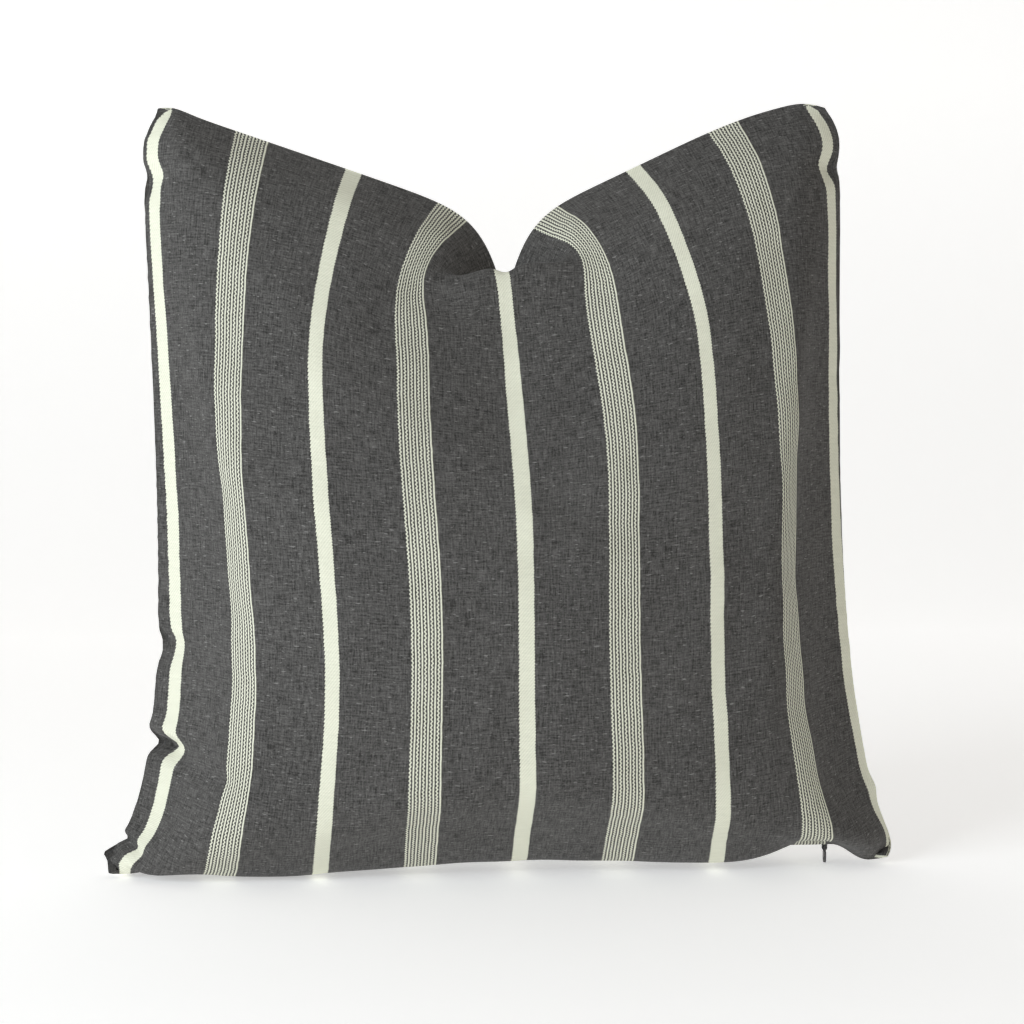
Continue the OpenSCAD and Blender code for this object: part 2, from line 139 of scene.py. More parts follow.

# The other colours, dark and light of each
# Zipper tape: its dark colour is partly painted shade in the troughs of the herringbone
TAPE_DARK, TAPE_LIGHT = (0.020, 0.020, 0.022, 1), (0.048, 0.048, 0.052, 1)
NYLON_DARK, NYLON_LIGHT = (0.012, 0.012, 0.013, 1), (0.030, 0.030, 0.033, 1)
LACQUER, RUBBED = (0.045, 0.045, 0.050, 1), (0.16, 0.155, 0.15, 1)
# Insert cotton: its dark colour is partly painted shade in the hollows of its weave
COTTON_DARK, COTTON_LIGHT = (0.66, 0.63, 0.55, 1), (0.80, 0.78, 0.71, 1)
SEED_SPECK = (0.32, 0.24, 0.15, 1)
# Filling: its dark colour is painted shade in the hollows between tufts
FILLING_DARK, FILLING_LIGHT = (0.70, 0.68, 0.63, 1), (0.92, 0.91, 0.88, 1)
PAPER_DARK, PAPER_LIGHT = (0.88, 0.88, 0.88, 1), (0.90, 0.90, 0.90, 1)
# Sewing threads: each colour with a darker one that is painted as shade between the plies
WHITE_THREAD, WHITE_SHADE = (0.86, 0.85, 0.80), (0.62, 0.60, 0.54)
GREY_THREAD, GREY_SHADE = (0.075, 0.075, 0.078), (0.030, 0.030, 0.032)

# Chopped top: the seam falls from each ear along a shoulder, then steeply into the chop
LEFT_EAR = np.array([-0.221, HEIGHT])
RIGHT_EAR = np.array([0.214, HEIGHT + 0.005])
SHOULDER_RISE = (0, 0.010)
CHOP = np.array([0.004, 0.348])
CHOP_FALL = 0.050
CHOP_WIDTH = 0.011

# Side seams: half width at the waist on the left and on the right, and how far the foot stands out from it
WAIST = (0.206, 0.211)
EAR_OUT = (0.0145, 0.008)
FOOT_OUT = 0.037
FOOT_POWER = (5.5, 3.5)
FOOT_CORNER = np.array([BASE_HALF + 0.006, -0.012, 0.0015])

# Each corner is turned round over this reach, which takes this much off its point
CORNER_REACH = 0.030
CORNER_CUT = 0.007
CORNER_STEPS = 12

# Slot between the folds over the zipper, and the room beside its pull
FOLD_HALF = 0.0007
PULL_ROOM = 0.0030

# Height of the seam's puckers and of the filling's unevenness, and creases of the front as
# start and end on the flat panel, width and depth
PUCKER = 0.0004
UNEVEN = 0.0009
CREASES = (
    ((-0.256, -0.138), (-0.196, -0.160), 0.0045, 0.0050),
    ((-0.256, -0.066), (-0.222, -0.072), 0.0040, 0.0025),
    ((-0.256, -0.236), (-0.170, -0.246), 0.0050, 0.0045),
    ((0.256, 0.214), (0.224, 0.196), 0.0050, 0.0030),
    ((-0.256, 0.206), (-0.226, 0.192), 0.0050, 0.0030),
)

# The sharp fold under the chop, in the same terms
NOTCH = ((0.001, 0.248), (0.003, 0.170), 0.0065, 0.0150)

# Places where the cloth is pinched: middle on the flat panel, half sizes of the area,
# sideways shift and depth
PINCHES = (
    ((-0.250, -0.140), (0.024, 0.0060), 0.0060, 0.0020),
    ((-0.200, -0.150), (0.016, 0.0060), 0.0030, 0.0000),
    ((-0.250, -0.128), (0.020, 0.0060), -0.0015, -0.0010),
    ((-0.252, -0.074), (0.016, 0.0110), 0.0035, 0.0010),
    ((-0.250, -0.222), (0.018, 0.0055), 0.0050, 0.0010),
    ((-0.250, -0.238), (0.018, 0.0050), -0.0040, -0.0010),
    ((-0.246, 0.212), (0.016, 0.0070), 0.0030, 0.0010),
    ((-0.250, 0.254), (0.022, 0.0180), 0.0080, 0.0000),
    ((0.240, 0.214), (0.018, 0.0070), -0.0035, 0.0010),
    ((0.250, 0.254), (0.022, 0.0150), -0.0040, 0.0000),
    ((0.250, -0.190), (0.012, 0.0090), 0.0020, 0.0010),
)

# Filling: its volume, half thickness of the belly and of the corners, how far the belly sits below
# the middle, how steeply the faces part at the seam, and the wall that limits the pillow's depth
FILL_VOLUME = 0.0195
BELLY = 0.082
CORNER_LOFT = 0.044
BELLY_SHIFT = 0.267
EDGE_SLOPE = 0.8
HALF_DEPTH = 0.1020

# Solver: pull towards an upright middle, weight, share of a move that is kept, rates of the
# corrections, softness of squeezed and sheared cloth, and least height above the floor
UPRIGHT = 0.05
WEIGHT = 0.00011
KEPT_MOVE = 0.9
VOLUME_RATE = 0.3
SPRING_RATE = 0.03
WALL_RATE = 0.3
PIN_RATE = 0.3
SIDE_RATE = 0.1
SQUEEZE = 0.12
SHEAR = 0.25
BEND = 0.4
FLOOR_ROOM = 0.0012
CREASED_ROOM = 0.001

# Lean of the standing pillow in degrees, and the heights over which it begins
LEAN = 4
LEAN_START = 0.03
LEAN_EASE = 0.04

# Steps of the grid and rounds of the solver, from coarse to fine
CLOTH_STEPS = ((22, 400), (44, 300), (88, 300))

FRONT, BACK = 0, 1


def ease(t):
    t = np.clip(t, 0, 1)
    return t * t * (3 - 2 * t)


# Cloth: p[panel, column, row] is a point of the grid; the two panels share their edges

def flat_grid(n):
    g = np.linspace(-1, 1, n + 1)
    return np.meshgrid(g, g, indexing="ij")


def pull_pairs(a, b, rest, stretch, squeeze):
    """Moves each pair towards its rest length, firmly when stretched and softly when squeezed."""
    d = b - a
    length = np.sqrt((d * d).sum(-1, keepdims=True)) + 1e-12
    gap = (length - rest) / length
    gap *= np.where(gap > 0, stretch / 2, squeeze / 2)
    d *= gap
    a += d
    b -= d


def weave_pass(p, rest, squeeze, shear):
    """Threads keep their length; the angle between warp and weft gives way."""
    across = rest * math.sqrt(2)
    for k in (0, 1):
        pull_pairs(p[:, k:-1:2], p[:, k + 1::2], rest, 1, squeeze)
        pull_pairs(p[:, :, k:-1:2], p[:, :, k + 1::2], rest, 1, squeeze)
        pull_pairs(p[:, k:-1:2, :-1], p[:, k + 1::2, 1:], across, shear, shear)
        pull_pairs(p[:, k:-1:2, 1:], p[:, k + 1::2, :-1], across, shear, shear)


def bend_pass(p, share):
    for q in (p, np.swapaxes(p, 1, 2)):
        d = (q[:, :-2] - 2 * q[:, 1:-1] + q[:, 2:]) * share
        q[:, 1:-1] += d / 2
        q[:, :-2] -= d / 4
        q[:, 2:] -= d / 4


def sew(p):
    """Joins the edges of the two panels."""
    every = slice(None)
    for edge in ((every, 0), (every, -1), (0, every), (-1, every)):
        mean = (p[FRONT][edge] + p[BACK][edge]) / 2
        p[FRONT][edge] = mean
        p[BACK][edge] = mean


def volume_of(p):
    """Volume inside the two panels, and how it grows as each point moves."""
    a, b, c, d = p[:, :-1, :-1], p[:, 1:, :-1], p[:, 1:, 1:], p[:, :-1, 1:]
    area = np.cross(c - a, d - b) / 2
    area[BACK] *= -1
    grow = np.zeros_like(p)
    for corner in (np.s_[:, :-1, :-1], np.s_[:, 1:, :-1], np.s_[:, 1:, 1:], np.s_[:, :-1, 1:]):
        grow[corner] += area / 4
    return ((a + b + c + d) * area).sum() / 12, grow


def shoulder(ear, rise, count):
    """Points at equal steps along the top seam from the chop to an ear."""
    share = np.linspace(0, 1, 400) ** 2
    x = CHOP[0] + (ear[0] - CHOP[0]) * share
    line = CHOP[1] + CHOP_FALL + (ear[1] - CHOP[1] - CHOP_FALL) * share + rise * np.sin(math.pi * share ** 2)
    z = line - CHOP_FALL * np.exp(-abs(x - CHOP[0]) / CHOP_WIDTH)
    along = np.concatenate([[0], np.cumsum(np.hypot(np.diff(x), np.diff(z)))])
    at = np.linspace(0, along[-1], count)
    return np.stack([np.interp(at, along, x), np.zeros(count), np.interp(at, along, z)], -1)


def top_seam(n):
    half = n // 2 + 1
    left = shoulder(LEFT_EAR, SHOULDER_RISE[0], half)
    right = shoulder(RIGHT_EAR, SHOULDER_RISE[1], half)
    return np.concatenate([left[::-1], right[1:]])


def side_seams(n):
    """Place across the pillow of each point of the left and the right side seam."""
    w = np.linspace(0, 1, n + 1)
    sizes = zip(WAIST, FOOT_POWER, EAR_OUT)
    left, right = (half + FOOT_OUT * (1 - w) ** power + ear * w * w for half, power, ear in sizes)
    return -left, right


def hold(p, flat_x, top, sides):
    """Holds the zipper seam, the bottom corners, the chopped top seam and the floor."""
    zipper = np.abs(flat_x) <= ZIP_HALF
    for panel in p:
        row = panel[:, 0]
        row[zipper, 0] = flat_x[zipper]
        row[zipper, 1] = 0
        row[zipper, 2] = SEAM_Z
        panel[0, 0] += (FOOT_CORNER * (-1, 1, 1) - panel[0, 0]) * PIN_RATE
        panel[-1, 0] += (FOOT_CORNER - panel[-1, 0]) * PIN_RATE
        panel[:, -1] += (top - panel[:, -1]) * PIN_RATE
        panel[0, :, 0] += (sides[0] - panel[0, :, 0]) * SIDE_RATE
        panel[-1, :, 0] += (sides[1] - panel[-1, :, 0]) * SIDE_RATE
    np.maximum(p[..., 2], FLOOR_ROOM, out=p[..., 2])


def filling(u, v):
    """Thickness that the filling springs back to."""
    s = v + BELLY_SHIFT * (1 - v * v)
    body = BELLY * (1 - abs(u) ** 2.2) ** 0.62 * (1 - s * s).clip(0) ** 0.6
    pinch = 1 - 0.4 * ease((v + 0.1) / 0.9) * np.exp(-(u / 0.3) ** 2)
    corner = CORNER_LOFT * (1 - np.maximum(abs(u), abs(v)) ** 2) ** 0.6
    from_edge = SIDE / 2 * (1 - np.maximum(abs(u), abs(v)))
    return 2 * np.minimum(np.hypot(body * pinch, corner), EDGE_SLOPE * from_edge)


def relax(p, steps, volume):
    """Rounds of the solver: inertia, then the filling's push, weight, wall, weave, seams and holds."""
    n = p.shape[1] - 1
    rest = SIDE / n
    u, v = flat_grid(n)
    flat_x = u[:, 0] * SIDE / 2
    top = top_seam(n)
    sides = side_seams(n)
    thick = filling(u, v)
    load = WEIGHT * np.exp(-(1 + v) / 0.2) * (1 - ease((abs(u) - 0.60) / 0.25))
    old = p.copy()
    for _ in range(steps):
        move = (p - old) * KEPT_MOVE
        old = p.copy()
        p = p + move
        have, grow = volume_of(p)
        push = grow * (1 + 0.5 * np.clip(1 - p[..., 2:] / 0.4, 0, 1))
        p += push * ((volume - have) * VOLUME_RATE / (push * grow).sum())
        spring = (thick - (p[BACK, ..., 1] - p[FRONT, ..., 1])) * SPRING_RATE
        p[FRONT, ..., 1] -= spring
        p[BACK, ..., 1] += spring
        p[..., 2] -= load
        p[..., 1] -= p[..., 1].mean(0) * UPRIGHT
        p[..., 1] -= np.sign(p[..., 1]) * (abs(p[..., 1]) - HALF_DEPTH).clip(0) * WALL_RATE
        for _ in range(2):
            weave_pass(p, rest, SQUEEZE, SHEAR)
            bend_pass(p, BEND)
            sew(p)
            hold(p, flat_x, top, sides)
    return p


def between(a):
    """Points midway along the columns, on a smooth curve through them."""
    bend = np.zeros_like(a)
    bend[:, 1:-1] = a[:, :-2] - 2 * a[:, 1:-1] + a[:, 2:]
    return (a[:, :-1] + a[:, 1:]) / 2 - (bend[:, :-1] + bend[:, 1:]) / 16


def finer(p):
    """The same cloth on a grid with twice the steps each way."""
    for _ in range(2):
        q = np.zeros((2, 2 * p.shape[1] - 1, p.shape[2], 3))
        q[:, ::2] = p
        q[:, 1::2] = between(p)
        p = np.swapaxes(q, 1, 2)
    return p


def first_guess(n):
    """Start of the simulation: both panels stretched over a flat lens with a dipped top."""
    u, v = flat_grid(n)
    w = (v + 1) / 2
    x = u * (BASE_HALF - 0.031 * np.sin(w * math.pi / 2) ** 0.6)
    top = HEIGHT - (HEIGHT - CHOP[1]) * (1 - abs(u))
    z = SEAM_Z + (HEIGHT - SEAM_Z) * w + (top - HEIGHT) * w ** 2.5
    lens = 0.08 * ((1 - u * u) * (1 - v * v)) ** 0.6
    return np.stack([np.stack([x, side * lens, z], -1) for side in (-1, 1)])


def round_corners(p):
    """Turns the seam round each corner instead of leaving a sharp point."""
    u, v = flat_grid(p.shape[1] - 1)
    for i in (0, -1):
        for j in (0, -1):
            away = SIDE / 2 * np.hypot(u - u[i, j], v - v[i, j])
            share = (1 - away / CORNER_REACH).clip(0) ** 2
            inner = CORNER_STEPS if i == 0 else -1 - CORNER_STEPS
            upper = CORNER_STEPS if j == 0 else -1 - CORNER_STEPS
            inward = p[:, inner, upper].mean(0) - p[FRONT, i, j]
            p += share[..., None] * inward * CORNER_CUT / np.linalg.norm(inward)


def outward(p):
    """Unit normals of both panels, pointing out of the pillow."""
    n = np.cross(np.gradient(p, axis=1), np.gradient(p, axis=2))
    n[BACK] *= -1
    return n / (np.linalg.norm(n, axis=-1, keepdims=True) + 1e-12)


def along_crease(x, y, start, end, width):
    """1 on a line across the flat panel, fading to both sides and towards its end."""
    line = np.subtract(end, start)
    share = ((x - start[0]) * line[0] + (y - start[1]) * line[1]) / (line @ line)
    t = share.clip(0, 1)
    away = np.hypot(x - start[0] - t * line[0], y - start[1] - t * line[1])
    return np.exp(-(away / width) ** 2) * (1 - ease(t))


def pucker(p):
    """Small waves of the cloth: pulled stitches at the seams, soft unevenness of the filling, and creases."""
    u, v = flat_grid(p.shape[1] - 1)
    x, y = u * SIDE / 2, v * SIDE / 2
    side_gap = SIDE / 2 * (1 - abs(u))
    top_gap = SIDE / 2 * (1 - v)
    n = outward(p)
    for panel, turn in ((FRONT, 0), (BACK, 2)):
        uneven = 0.5 + 0.5 * np.sin(29 * y + 11 * u + turn)
        wave = uneven * np.sin(330 * y + 12 * np.sin(23 * y + turn) + 3 * u) * np.exp(-side_gap / 0.020)
        wave += 0.6 * np.sin(310 * x + 9 * np.sin(27 * x + turn)) * np.exp(-top_gap / 0.014)
        soft = np.sin(52 * x + 3 * np.sin(23 * y + turn)) * np.sin(47 * y + 2 * np.sin(29 * x + turn))
        soft += 0.5 * np.sin(101 * x + 67 * y + turn) * np.sin(93 * y - 41 * x)
        inner = (1 - u ** 8) * (1 - v ** 8)
        p[panel] += n[panel] * (PUCKER * wave * (1 - v ** 40) + UNEVEN * soft * inner)[..., None]
    for (mid_x, mid_y), (half_x, half_y), shift, depth in PINCHES:
        near = np.exp(-((x - mid_x) / half_x) ** 2 - ((y - mid_y) / half_y) ** 2)
        p[FRONT, ..., 0] += shift * near
        p[BACK, ..., 0] += shift * near
        p[FRONT] -= n[FRONT] * (depth * near * ease(side_gap / 0.006))[..., None]
    for start, end, width, depth in CREASES:
        p[FRONT] -= n[FRONT] * (depth * along_crease(x, y, start, end, width))[..., None]
    for panel in (FRONT, BACK):
        start, end, width, depth = NOTCH
        p[panel, ..., 2] -= depth * along_crease(x, y, start, end, width)
    np.maximum(p[..., 2], CREASED_ROOM, out=p[..., 2])


def open_folds(p):
    """Parts the two folds over the zipper, so that its pull has room to travel between them."""
    flat_x = flat_grid(p.shape[1] - 1)[0][:, 0] * SIDE / 2
    share = 1 - ease((abs(flat_x) - ZIP_HALF) / ZIP_FADE)
    for panel, side in ((FRONT, -1), (BACK, 1)):
        y = p[panel, :, :, 1]
        y[:, 0] += side * FOLD_HALF * share
        for row in range(1, 5):
            room = side * np.maximum(side * y[:, row], PULL_ROOM)
            y[:, row] += (room - y[:, row]) * share


def simulate():
    """Both panels as they stand, with their folds and puckers, leaning a little back."""
    steps = CLOTH_STEPS
    p = first_guess(steps[0][0])
    for n, count in steps:
        if p.shape[1] - 1 != n:
            p = finer(p)
        p = relax(p, count, FILL_VOLUME)
    p = finer(p)
    round_corners(p)
    pucker(p)
    open_folds(p)
    t = np.maximum(0, p[..., 2] - SEAM_Z - LEAN_START)
    p[..., 1] += ZIP_Y + math.tan(math.radians(LEAN)) * t * t / (t + LEAN_EASE)
    return p


# Meshes

def bake_place(flat, second):
    """The flat places fitted into the unit square, with the second face beside the first."""
    unit = flat / (2 * SIDE + 0.08) + 0.25
    unit[second:, 0] += 0.5
    return unit


def add_mesh(name, points, faces, uvs=None):
    mesh = bpy.data.meshes.new(name)
    mesh.from_pydata(np.asarray(points).tolist(), [], [list(f) for f in faces])
    mesh.update()
    if uvs is not None:
        loops = np.empty(len(mesh.loops), np.int32)
        mesh.loops.foreach_get("vertex_index", loops)
        for label, coords in uvs.items():
            layer = mesh.uv_layers.new(name=label)
            layer.data.foreach_set("uv", coords[loops].astype(np.float32).ravel())
    mesh.polygons.foreach_set("use_smooth", np.ones(len(mesh.polygons), bool))
    piece = bpy.data.objects.new(name, mesh)
    bpy.context.scene.collection.objects.link(piece)
    return piece


def grid_faces(n, start, flip):
    index = start + np.arange((n + 1) ** 2).reshape(n + 1, n + 1)
    quads = np.stack([index[:-1, :-1], index[1:, :-1], index[1:, 1:], index[:-1, 1:]], -1).reshape(-1, 4)
    return quads[:, ::-1] if flip else quads


def rim_index(n):
    """Grid columns and rows once round the edge, from the bottom left corner."""
    up, zero, end = np.arange(n), np.zeros(n, int), np.full(n, n)
    return np.concatenate([up, end, n - up, zero]), np.concatenate([zero, up, end, n - up])


def ring_faces(first, second, flip):
    after, after_second = np.roll(first, -1), np.roll(second, -1)
    quads = np.stack([first, second, after_second, after], -1)
    return quads[:, ::-1] if flip else quads


class Seam:
    """The sewn edge of the cover, once round, and the way in from it along the pillow's middle.

    zipped is 1 over the zipper, and corner is 1 at a corner of the cover.
    """

    def __init__(self, p):
        n = p.shape[1] - 1
        self.i, self.j = rim_index(n)
        self.edge = p[:, self.i, self.j].mean(0)
        middle = p.mean(0)
        deep = 16
        i, j = self.i.clip(deep, n - deep), self.j.clip(deep, n - deep)
        inward = middle[i, j] - self.edge
        inward[self.j == n, 2] = -abs(inward[self.j == n, 2]) - 0.02
        self.inward = inward / np.linalg.norm(inward, axis=1, keepdims=True)
        flat_x = (self.i / n * 2 - 1) * SIDE / 2
        at_foot = (self.j == 0) * (1 - ease((abs(flat_x) - ZIP_HALF) / ZIP_FADE))
        self.zipped = at_foot[:, None]
        to_corner = np.minimum(self.i, n - self.i) + np.minimum(self.j, n - self.j)
        self.corner = 1 - ease(to_corner[:, None] * SIDE / n / CORNER_ZONE)
        self.inward = self.inward * (1 - self.zipped) + np.array([0, 0, 1]) * self.zipped

    def at(self, depth, aside):
        """Points this deep behind the seam and this far from the middle, towards the back."""
        trimmed = depth * (1 - CORNER_TRIM * self.corner)
        return self.edge + self.inward * trimmed + np.array([0, 1, 0]) * np.reshape(aside, (-1, 1))


def cover_panel(name, p, seam, panel):
    """Outer face, seam allowance turned in behind the seam, and inner face, as one closed piece of cloth."""
    n = p.shape[1] - 1
    side = -1 if panel == FRONT else 1
    u, v = flat_grid(n)
    flat = np.stack([u, v], -1).reshape(-1, 2) * SIDE / 2
    rim = seam.i * (n + 1) + seam.j
    spread = (seam.zipped * (ZIP_ALLOWANCE - SEAM_GAP) + SEAM_GAP).ravel()
    fold = (seam.zipped * (FOLD_HALF - SEAM_GAP) + SEAM_GAP).ravel()
    rings = [
        seam.at(TURN_DEPTH, side * spread),
        seam.at(ALLOWANCE, side * spread),
        seam.at(ALLOWANCE, side * (spread + FABRIC)),
        seam.at(INNER_TURN_DEPTH, side * (spread + FABRIC)),
    ]
    inner = p[panel] - outward(p)[panel] * FABRIC
    inner[seam.i, seam.j] = seam.at(FACE_DEPTH, side * (fold + FABRIC))
    points = np.concatenate([p[panel].reshape(-1, 3), *rings, inner.reshape(-1, 3)])
    count = len(seam.i)
    starts = [(n + 1) ** 2 + k * count for k in range(4)]
    inner_start = starts[-1] + count
    chain = [rim] + [start + np.arange(count) for start in starts] + [inner_start + rim]
    flip = panel == BACK
    faces = [grid_faces(n, 0, flip), grid_faces(n, inner_start, not flip)]
    faces += [ring_faces(a, b, not flip) for a, b in zip(chain, chain[1:])]
    edge_flat = flat[rim]
    towards = -edge_flat / (SIDE / 2)
    depths = (TURN_DEPTH, ALLOWANCE, ALLOWANCE, INNER_TURN_DEPTH)
    maps = np.concatenate([flat] + [edge_flat - towards * d for d in depths] + [flat])
    uvs = {"flat": maps, "OFBake": bake_place(maps, inner_start)}
    return add_mesh(name, points, np.concatenate(faces), uvs)


def sample(a, i, j):
    """Values of a grid at places between its columns and rows."""
    last = a.shape[0] - 2
    i0, j0 = np.floor(i).astype(int).clip(0, last), np.floor(j).astype(int).clip(0, last)
    s, t = (i - i0)[..., None], (j - j0)[..., None]
    low = a[i0, j0] * (1 - s) + a[i0 + 1, j0] * s
    high = a[i0, j0 + 1] * (1 - s) + a[i0 + 1, j0 + 1] * s
    return low * (1 - t) + high * t


def nested(p, seam, n, rim_depth, gap, panel):
    """Grid of n steps inside the cover: rim_depth short of its seam and about gap below its face.

    Every point starts between the cover's middle and its face. The groove and the roof then move
    some, so at the chop, where the cover is carved lower, a few come out through it.
    """
    fine = p.shape[1] - 1
    u, v = flat_grid(n)
    scale = 1 - rim_depth / (SIDE / 2)
    middle = p.mean(0)
    reach = p[panel] - middle
    half = np.linalg.norm(reach, axis=-1, keepdims=True)
    face = reach * np.maximum(LEAST_SHARE, 1 - gap / (half + 1e-9))
    edge = np.maximum(abs(u), abs(v))[..., None]
    full = ((1 - edge) / RIM_OPENING).clip(0, 1) ** 0.5
    i, j = (u * scale + 1) / 2 * fine, (v * scale + 1) / 2 * fine
    points = sample(middle, i, j) + sample(face, i, j) * full
    x, y, z = points[..., 0], points[..., 1], points[..., 2]
    over_zipper = 1 - ease((abs(x) - ZIP_HALF) / GROOVE_FADE)
    groove = (SEAM_Z + rim_depth - (abs(y - ZIP_Y) - GROOVE_HALF).clip(0)) * over_zipper
    points[..., 2] = np.maximum(z, groove)
    top = seam.edge[seam.j == fine]
    top = top[np.argsort(top[:, 0])]
    seam_y, seam_z = (np.interp(x, top[:, 0], top[:, k]) for k in (1, 2))
    roof = seam_z - ROOF_DROP * rim_depth + ROOF_SLOPE * abs(y - seam_y)
    points[..., 2] = np.minimum(points[..., 2], roof)
    return points


def shell(name, p, seam, panel):
    """One half of the insert's shell, with its thickness turned inwards."""
    n = SHELL_GRID
    outer = nested(p, seam, n, RIM_DEPTH, INSERT_GAP, panel)
    inner = nested(p, seam, n, RIM_DEPTH + SHELL_RIM, INSERT_GAP + SHELL, panel)
    i, j = rim_index(n)
    rim = i * (n + 1) + j
    flip = panel == BACK
    start = (n + 1) ** 2
    faces = [grid_faces(n, 0, flip), grid_faces(n, start, not flip), ring_faces(rim, start + rim, not flip)]
    u, v = flat_grid(n)
    flat = np.stack([u, v], -1).reshape(-1, 2) * (SIDE / 2 - RIM_DEPTH)
    maps = np.concatenate([flat, flat])
    points = np.concatenate([outer.reshape(-1, 3), inner.reshape(-1, 3)])
    uvs = {"flat": maps, "OFBake": bake_place(maps, start)}
    return add_mesh(name, points, np.concatenate(faces), uvs)


def stuffing(name, p, seam):
    """Loose filling, as one soft body with a clumped surface."""
    n = FILLING_GRID
    halves = [nested(p, seam, n, FILLING_DEPTH, FILLING_GAP, panel) for panel in (FRONT, BACK)]
    u, v = flat_grid(n)
    clump = abs(np.sin(61 * u + 5 * np.sin(17 * v))) * abs(np.sin(57 * v + 4 * np.sin(19 * u)))
    clump = clump * (1 - np.maximum(abs(u), abs(v)) ** 4) * CLUMP
    pair = np.stack(halves)
    pair -= outward(pair) * clump[None, ..., None]
    back = np.arange((n + 1) ** 2) + (n + 1) ** 2
    i, j = rim_index(n)
    rim = i * (n + 1) + j
    back[rim] = rim
    faces = np.concatenate([grid_faces(n, 0, False), back[grid_faces(n, 0, True)]])
    piece = add_mesh(name, pair.reshape(-1, 3), faces)
    piece.data.validate()
    return piece


def tube(name, path, radius, closed=False, sides=6):
    """Round thread through the points of a path, with its length and turn as UVs."""
    path = np.asarray(path, float)
    n = len(path)
    ahead = np.roll(path, -1, 0) if closed else np.concatenate([path[1:], path[-1:]])
    behind = np.roll(path, 1, 0) if closed else np.concatenate([path[:1], path[:-1]])
    along = ahead - behind
    along /= np.linalg.norm(along, axis=1, keepdims=True) + 1e-12
    guide = np.where(abs(along[:, 1:2]) < 0.9, [[0, 1, 0]], [[1, 0, 0]])
    p = np.cross(along, guide)
    p /= np.linalg.norm(p, axis=1, keepdims=True)
    q = np.cross(p, along)
    turn = np.arange(sides) / sides * 2 * math.pi
    ring = np.cos(turn)[None, :, None] * p[:, None] + np.sin(turn)[None, :, None] * q[:, None]
    points = (path[:, None] + radius * ring).reshape(-1, 3)
    index = np.arange(n * sides).reshape(n, sides)
    after = np.roll(index, -1, 0) if closed else index[1:]
    index_a = index if closed else index[:-1]
    quads = np.stack([index_a, np.roll(index_a, -1, 1), np.roll(after, -1, 1), after], -1).reshape(-1, 4)
    faces = quads.tolist()
    if not closed:
        faces += [index[0][::-1].tolist(), index[-1].tolist()]
    length = np.concatenate([[0], np.cumsum(np.linalg.norm(np.diff(path, axis=0), axis=1))])
    uv = np.stack([np.repeat(length, sides), np.tile(turn / (2 * math.pi), n)], -1)
    return add_mesh(name, points, faces, {"flat": uv})


def resample(path, step):
    along = np.concatenate([[0], np.cumsum(np.linalg.norm(np.diff(path, axis=0), axis=1))])
    at = np.linspace(0, along[-1], max(2, int(round(along[-1] / step)) + 1))
    return np.stack([np.interp(at, along, path[:, k]) for k in range(3)], -1)


def sewn_part(seam, points):
    """The three sewn sides of a ring of points: up the right side, over the top and down the left."""
    first = np.count_nonzero(seam.j == 0) - 1
    return np.concatenate([points[first:], points[:1]])


def lockstitch(name, path, radius, aside):
    """Straight stitches, 3 mm long, that dip towards the other side between them."""
    line = resample(path, STITCH_STEP)
    dip = (np.arange(len(line)) % STITCH_STEPS == 0)[:, None]
    return tube(name, line + aside * (1 - STITCH_DIP * dip), radius)


def winding(path, pitch, inward, across, turns_per_point=12):
    """Helix round a path: inward and across are its two half sizes as vectors."""
    line = resample(path, pitch / turns_per_point)
    turn = np.arange(len(line)) / turns_per_point * 2 * math.pi
    return line + np.cos(turn)[:, None] * inward + np.sin(turn)[:, None] * across


# Materials

